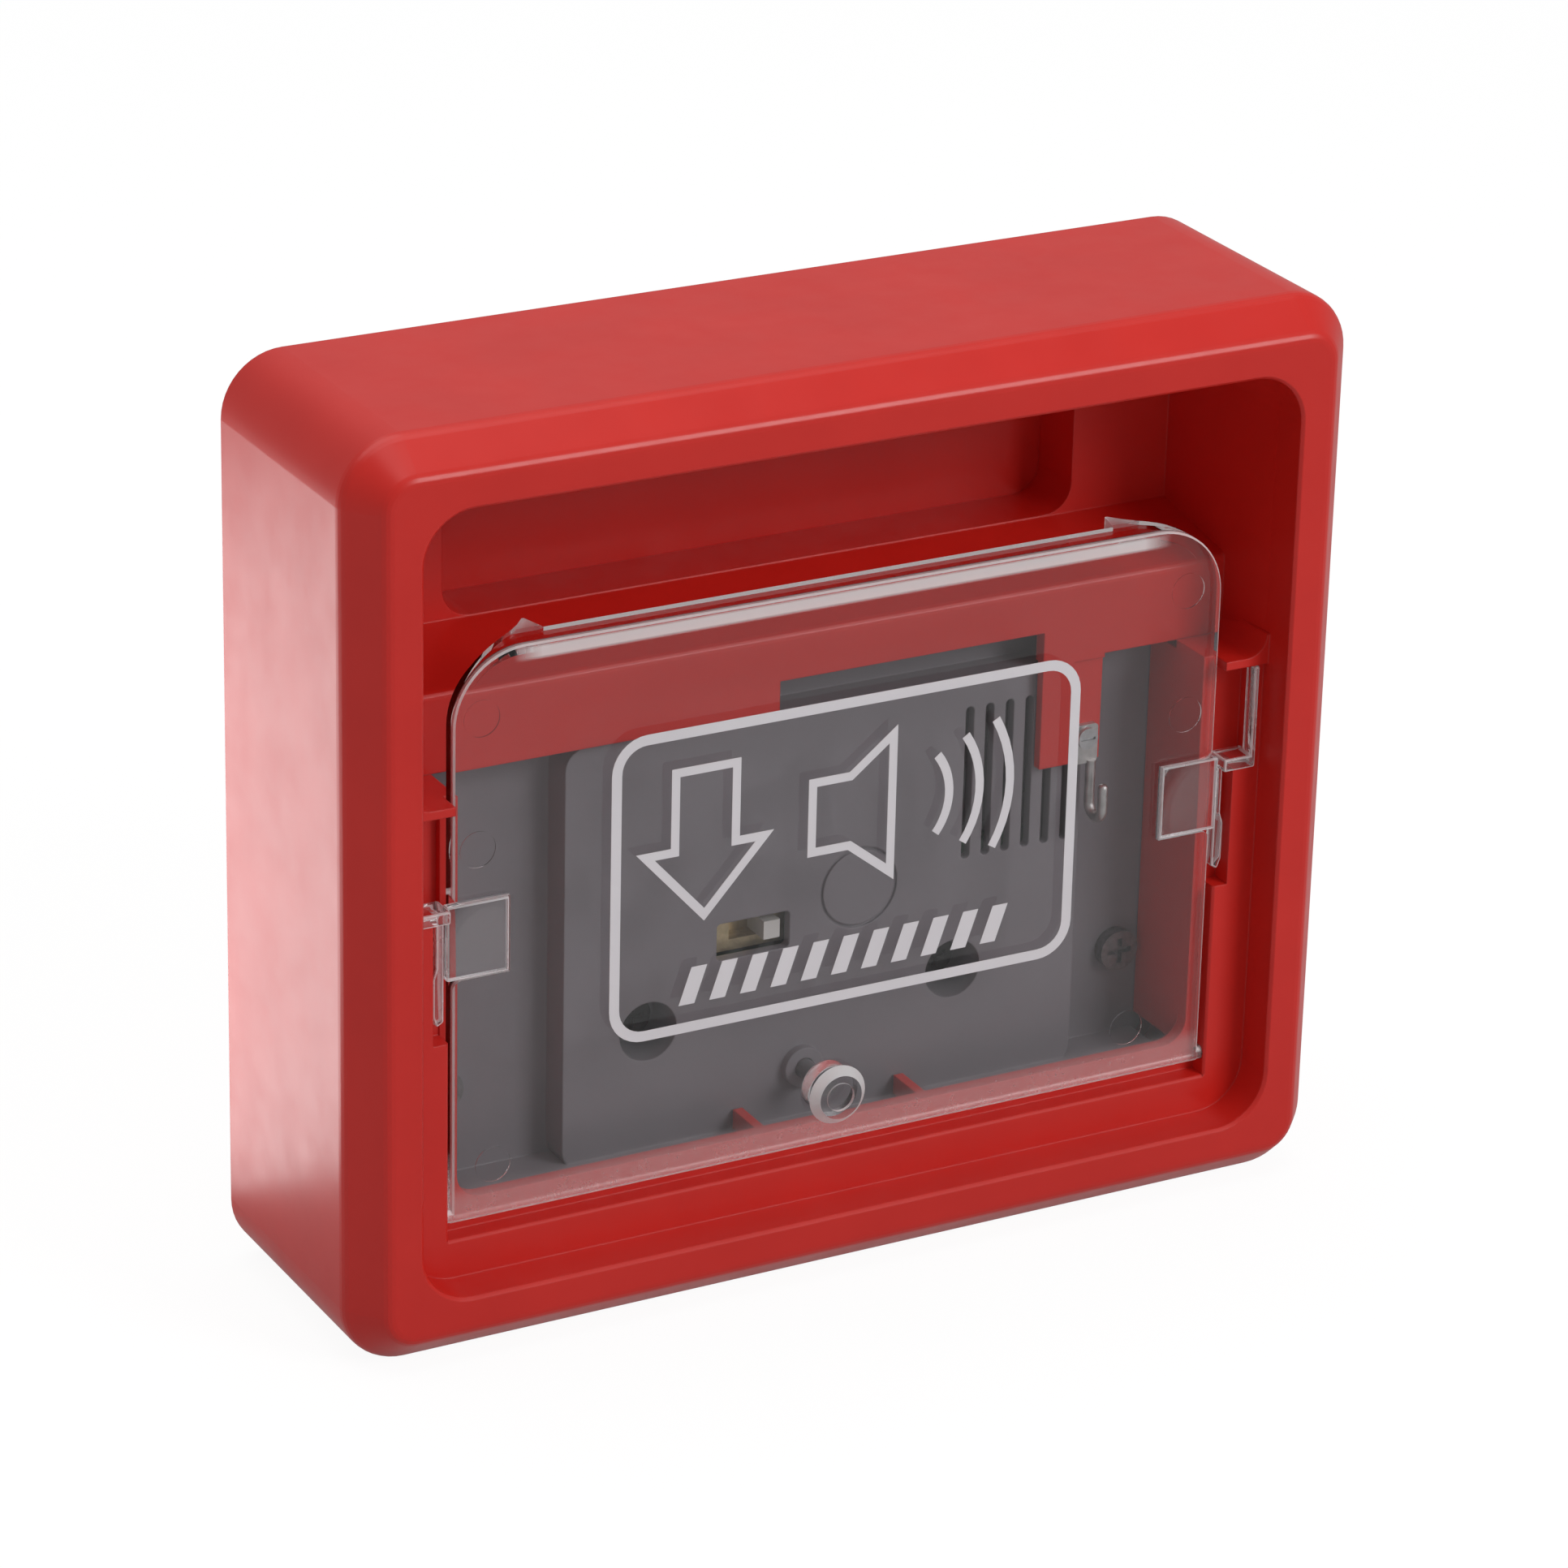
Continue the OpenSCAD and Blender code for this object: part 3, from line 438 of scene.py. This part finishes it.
def merged_copy(node: str) -> bmesh.types.BMesh:
    """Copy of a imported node's mesh with its doubles merged, and without the node's own normals.

    Args:
        node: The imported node.

    Returns:
        The copy.
    """
    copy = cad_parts[node].data.copy()
    own = copy.attributes.get("custom_normal")
    if own:
        copy.attributes.remove(own)
    bm = bmesh.new()
    bm.from_mesh(copy)
    bpy.data.meshes.remove(copy)
    bmesh.ops.remove_doubles(bm, verts=bm.verts, dist=MERGE)
    return bm


def soften(bm: bmesh.types.BMesh, width: float, segments: int = 2, least: float = 40.0) -> list[bmesh.types.BMFace]:
    """Rounds the sharp edges of a plain mesh.

    Args:
        bm: The mesh.
        width: Width of the rounding in millimetres.
        segments: Faces across the rounding.
        least: Least angle in degrees between the faces of a sharp edge.

    Returns:
        The faces of the rounding.
    """
    bmesh.ops.dissolve_limit(
        bm, angle_limit=math.radians(0.4), verts=bm.verts, edges=bm.edges, use_dissolve_boundaries=False, delimit=set()
    )
    sharp = [e for e in bm.edges if e.is_manifold and e.calc_face_angle(0) > math.radians(least)]
    rounded = bmesh.ops.bevel(
        bm,
        geom=sharp,
        offset=width * MM,
        offset_type="OFFSET",
        segments=segments,
        profile=0.5,
        affect="EDGES",
        clamp_overlap=True,
        material=-1,
    )
    return rounded["faces"]


def dress(node: str, finish: Finish) -> None:
    """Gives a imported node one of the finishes.

    Args:
        node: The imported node.
        finish: The finish.
    """
    mesh_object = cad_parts[node]
    for slot in mesh_object.material_slots:
        slot.material = finish.material()
    LOG.info("%s: %s", node, finish.name)


@dataclass
class Casing:
    """Red front housing and back plate."""

    finish: Moulded = RED_SHELL

    def build(self) -> None:
        """Dresses the housing and the back plate."""
        for node in ("front_housing", "back_plate"):
            dress(node, self.finish)


@dataclass
class ClearCover:
    """Clear cover with its print, and the tabs that lock it.

    In millimetres: front is the depth of the plate's face, tab_round the rounding of the tabs' edges, tab_gap what
    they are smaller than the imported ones, ink the print's thickness, sunk how far it goes into the plate, and line
    the width of the frame's line.
    """

    front: float = 6.4
    tab_round: float = 0.28
    tab_gap: float = 0.03
    ink: float = 0.05
    sunk: float = 0.01
    line: float = 1.45

    def build_tabs(self) -> None:
        """Flags that lie in the cover's pockets and clips that stay in the casing."""
        for side in ("left", "right"):
            for node, body in ((f"{side}_break_tab", "cover"), (f"{side}_tab_clip", "box")):
                bm = merged_copy(node)
                low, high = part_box(node)
                centre = (low + high) / 2
                bmesh.ops.scale(
                    bm,
                    vec=[(s - self.tab_gap * MM) / s for s in high - low],
                    space=Matrix.Translation(-centre),
                    verts=bm.verts,
                )
                for face in soften(bm, self.tab_round):
                    face.material_index = 1
                shell = finished(f"{node}_shell", bm, CLEAR_TAB, body)
                shell.data.materials.append(TAB_EDGE.material())
                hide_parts(node)

    def stroke_loop(self, bm: bmesh.types.BMesh, corners: Sequence[Pair], radius: float, line: float) -> None:
        """Closed printed line along a shape with rounded corners.

        Args:
            bm: The mesh that takes the line.
            corners: The shape's outer corners in x and z.
            radius: Radius of its corners, or nought for sharp ones.
            line: Width of the line.
        """
        own = bmesh.new()
        verts = [own.verts.new(place(x, self.front - self.ink, z)) for x, z in corners]
        face = own.faces.new(verts)
        if radius > 0:
            bmesh.ops.bevel(
                own,
                geom=list(own.verts),
                offset=radius * MM,
                offset_type="OFFSET",
                segments=8,
                profile=0.5,
                affect="VERTICES",
                clamp_overlap=True,
                material=-1,
            )
            face = max(own.faces, key=lambda f: f.calc_area())
        own.normal_update()
        bmesh.ops.inset_region(own, faces=[face], thickness=line * MM, use_even_offset=True, use_boundary=True)
        bmesh.ops.delete(own, geom=[face], context="FACES_ONLY")
        self.take(bm, own)

    def stroke_fill(self, bm: bmesh.types.BMesh, corners: Sequence[Pair]) -> None:
        """Filled printed shape.

        Args:
            bm: The mesh that takes the shape.
            corners: Its corners in x and z.
        """
        own = bmesh.new()
        own.faces.new([own.verts.new(place(x, self.front - self.ink, z)) for x, z in corners])
        self.take(bm, own)

    def stroke_arc(
        self, bm: bmesh.types.BMesh, centre: Pair, radius: float, start: float, turn: float, line: float
    ) -> None:
        """Printed arc.

        Args:
            bm: The mesh that takes the arc.
            centre: The arc's centre in x and z.
            radius: Radius of the middle of the line.
            start: Angle of its start in degrees, from x towards z.
            turn: Angle that it turns through in degrees.
            line: Width of the line.
        """
        own = bmesh.new()
        x, z = centre
        a = math.radians(start)
        pair = [
            own.verts.new(place(x + r * math.cos(a), self.front - self.ink, z + r * math.sin(a)))
            for r in (radius - line / 2, radius + line / 2)
        ]
        edge = own.edges.new(pair)
        steps = max(6, round(turn / 6))
        bmesh.ops.spin(
            own,
            geom=[*pair, edge],
            cent=place(x, self.front - self.ink, z),
            axis=(0, -1, 0),
            angle=math.radians(turn),
            steps=steps,
        )
        self.take(bm, own)

    def take(self, bm: bmesh.types.BMesh, own: bmesh.types.BMesh) -> None:
        """Gives a flat shape the thickness of the ink and adds it to the print.

        Args:
            bm: The print's mesh.
            own: The flat shape. It is freed.
        """
        bmesh.ops.remove_doubles(own, verts=own.verts, dist=MERGE)
        grown = bmesh.ops.extrude_face_region(own, geom=list(own.faces))
        back = [v for v in grown["geom"] if isinstance(v, bmesh.types.BMVert)]
        bmesh.ops.translate(own, vec=(0, (self.ink + self.sunk) * MM, 0), verts=back)
        bmesh.ops.recalc_face_normals(own, faces=own.faces)
        mesh = bpy.data.meshes.new("stroke")
        own.to_mesh(mesh)
        own.free()
        bm.from_mesh(mesh)
        bpy.data.meshes.remove(mesh)

    def build_print(self) -> bpy.types.Object:
        """White print: a rounded frame round a pull arrow, a sounder sign and a row of slanting bars."""
        bm = bmesh.new()
        self.stroke_loop(bm, [(-34.1, -26.0), (35.0, -26.0), (35.0, 17.0), (-34.1, 17.0)], 5.0, self.line)
        arrow = [(-25.5, 11.5), (-15.5, 11.5), (-15.5, 0.5), (-10.5, 0.5), (-20.5, -10.5), (-30.5, 0.5), (-25.5, 0.5)]
        self.stroke_loop(bm, arrow, 0.0, 1.2)
        for reach in (0.0, 1.0, 2.0):
            self.stroke_arc(bm, (6.5, 1.0), 9.0 + 4.6 * reach, -38 + 4 * reach, 76 - 8 * reach, 1.25)
        self.stroke_loop(bm, [(-5.5, -4.5), (0.5, -4.5), (7.5, -10.0), (7.5, 12.0), (0.5, 6.5), (-5.5, 6.5)], 0.0, 1.2)
        for i in range(11):
            x = -24.0 + 4.5 * i
            self.stroke_fill(bm, [(x, -22.0), (x + 2.3, -22.0), (x + 4.1, -16.8), (x + 1.8, -16.8)])
        return finished("cover_print", bm, PRINT_INK, "cover")

    def build(self) -> None:
        """Builds the plate, its print and the tabs."""
        dress("clear_cover", CLEAR_COVER)
        self.build_tabs()
        self.build_print()


@dataclass
class AlarmUnit:
    """Grey unit behind the cover, with what it holds."""

    def build(self) -> None:
        """Dresses the front and what is behind it."""
        for node, finish in {
            "alarm_front": GREY_UNIT,
            "alarm_base": GREY_UNIT,
            "key_hook": NICKEL,
            "circuit_board": GREEN_BOARD,
            "sounder": BLACK_PART,
            "sounder_leads": RED_LEAD,
            "battery": BATTERY_CAN,
            "battery_snap": BLACK_PART,
            "battery_leads": RED_LEAD,
            "slide_switch_body": BRASS,
            "slide_switch_knob": WHITE_PART,
            "microswitch_body": BLACK_PART,
            "microswitch_button": WHITE_PART,
            "cover_switch_pin": PIN_PLASTIC,
            "hook_screw": ZINC,
            "panel_screws": BLACKED,
            "alarm_screws": DULL_STEEL,
            "case_screws": ZINC,
        }.items():
            dress(node, finish)


@dataclass
class Studio:
    """Pale floor, soft lamps, sky and the photograph's camera."""

    middle: Vector = field(default_factory=lambda: place(0, 20, 0))
    lens: float = 144.637
    sensor: float = 36.0
    eye: Triple = (-369.294, -647.473, 324.765)
    right: Triple = (0.88030152, -0.47388255, 0.02246237)
    down: Triple = (-0.16771223, -0.35514022, -0.9196456)
    ahead: Triple = (0.44378129, 0.80579821, -0.39210637)

    def build_camera(self) -> None:
        """Camera at the photograph's place."""
        data = bpy.data.cameras.new("camera")
        data.lens, data.sensor_width = self.lens, self.sensor
        data.clip_start, data.clip_end = 0.01, 50
        camera = bpy.data.objects.new("camera", data)
        bpy.context.scene.collection.objects.link(camera)
        turn = Matrix((self.right, [-v for v in self.down], [-v for v in self.ahead])).transposed()
        camera.matrix_world = Matrix.Translation(place(*self.eye)) @ turn.to_4x4()
        bpy.context.scene.camera = camera

    def lamp(
        self, name: str, at: Sequence[float], size: Pair, power: float, facing: Optional[Sequence[float]] = None
    ) -> None:
        """Soft lamp that is seen neither by the camera nor through clear pieces.

        Args:
            name: The lamp's name.
            at: Its place in metres from the box's middle.
            size: Its sides in metres.
            power: Its power in watts.
            facing: The way that it shines, or None where it faces the box.
        """
        data = bpy.data.lights.new(name, "AREA")
        data.shape = "RECTANGLE"
        data.size, data.size_y = size
        data.energy = power
        lamp = bpy.data.objects.new(name, data)
        bpy.context.scene.collection.objects.link(lamp)
        lamp.location = self.middle + Vector(at)
        way = -Vector(at) if facing is None else Vector(facing)
        lamp.rotation_euler = way.to_track_quat("-Z", "Y").to_euler()
        lamp.visible_camera = False
        lamp.visible_transmission = False

    def build_sky(self) -> None:
        """Sky that is white to the camera, dimmer in gloss and through clear pieces, and dimmest as light."""
        world = bpy.data.worlds.new("sky")
        bpy.context.scene.world = world
        world.use_nodes = True
        n = Nodes(world.node_tree)
        soft = n.add("Background", {"Color": WHITE, "Strength": SKY_LIGHT})
        gloss = n.add("Background", {"Color": WHITE, "Strength": SKY_GLOSS})
        white = n.add("Background", {"Color": WHITE, "Strength": SKY_SEEN})
        mirrored = n.seen("Is Glossy Ray", "Is Transmission Ray")
        dim = n.add("MixShader", {0: mirrored, 1: soft.outputs[0], 2: gloss.outputs[0]})
        seen = n.seen("Is Camera Ray")
        n.out(n.add("MixShader", {0: seen, 1: dim.outputs[0], 2: white.outputs[0]}).outputs[0], "OutputWorld")

    def build_floor(self) -> None:
        """Pale floor that keeps the box's shadow."""
        bm = bmesh.new()
        bmesh.ops.create_circle(bm, cap_ends=True, segments=96, radius=4.0)
        mesh = bpy.data.meshes.new("floor")
        bm.to_mesh(mesh)
        bm.free()
        floor = bpy.data.objects.new("floor", mesh)
        bpy.context.scene.collection.objects.link(floor)
        made = bpy.data.materials.new("pale_floor")
        made.use_nodes = True
        mesh.materials.append(made)
        n = Nodes(made.node_tree)
        tone = n.blend(n.noise(40.0, 2.0), (0.62, 0.62, 0.62), (0.6, 0.6, 0.6))
        matt = n.add("BsdfDiffuse", {"Color": tone})
        strength = n.ramp(n.seen("Is Camera Ray"), FLOOR_GLOSS, FLOOR_SEEN)
        glow = n.add("Emission", {"Color": WHITE, "Strength": strength})
        seen = n.seen("Is Camera Ray", "Is Transmission Ray", "Is Glossy Ray")
        share = n.ramp(seen, 0, FLOOR_SHARE)
        n.out(n.add("MixShader", {0: share, 1: matt.outputs[0], 2: glow.outputs[0]}).outputs[0])

    def build(self) -> None:
        """Builds the whole set."""
        self.build_camera()
        self.build_sky()
        self.build_floor()
        self.lamp("key", (0.55, -0.95, 0.62), (0.5, 0.5), 6.5)
        self.lamp("top", (-0.1, 0.15, 1.0), (1.1, 1.1), 6.0)
        self.lamp("table", (-0.165, 0.165, -0.062), (0.17, 0.26), 0.44, (0, 0, 1))
        bpy.context.scene.view_settings.view_transform = "Standard"


def main() -> None:
    """Builds the set and every sub-assembly."""
    logging.basicConfig(level=logging.INFO, format="%(name)s: %(message)s")
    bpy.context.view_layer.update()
    Studio().build()
    Casing().build()
    ClearCover().build()
    AlarmUnit().build()


if __name__ == "__main__":
    main()
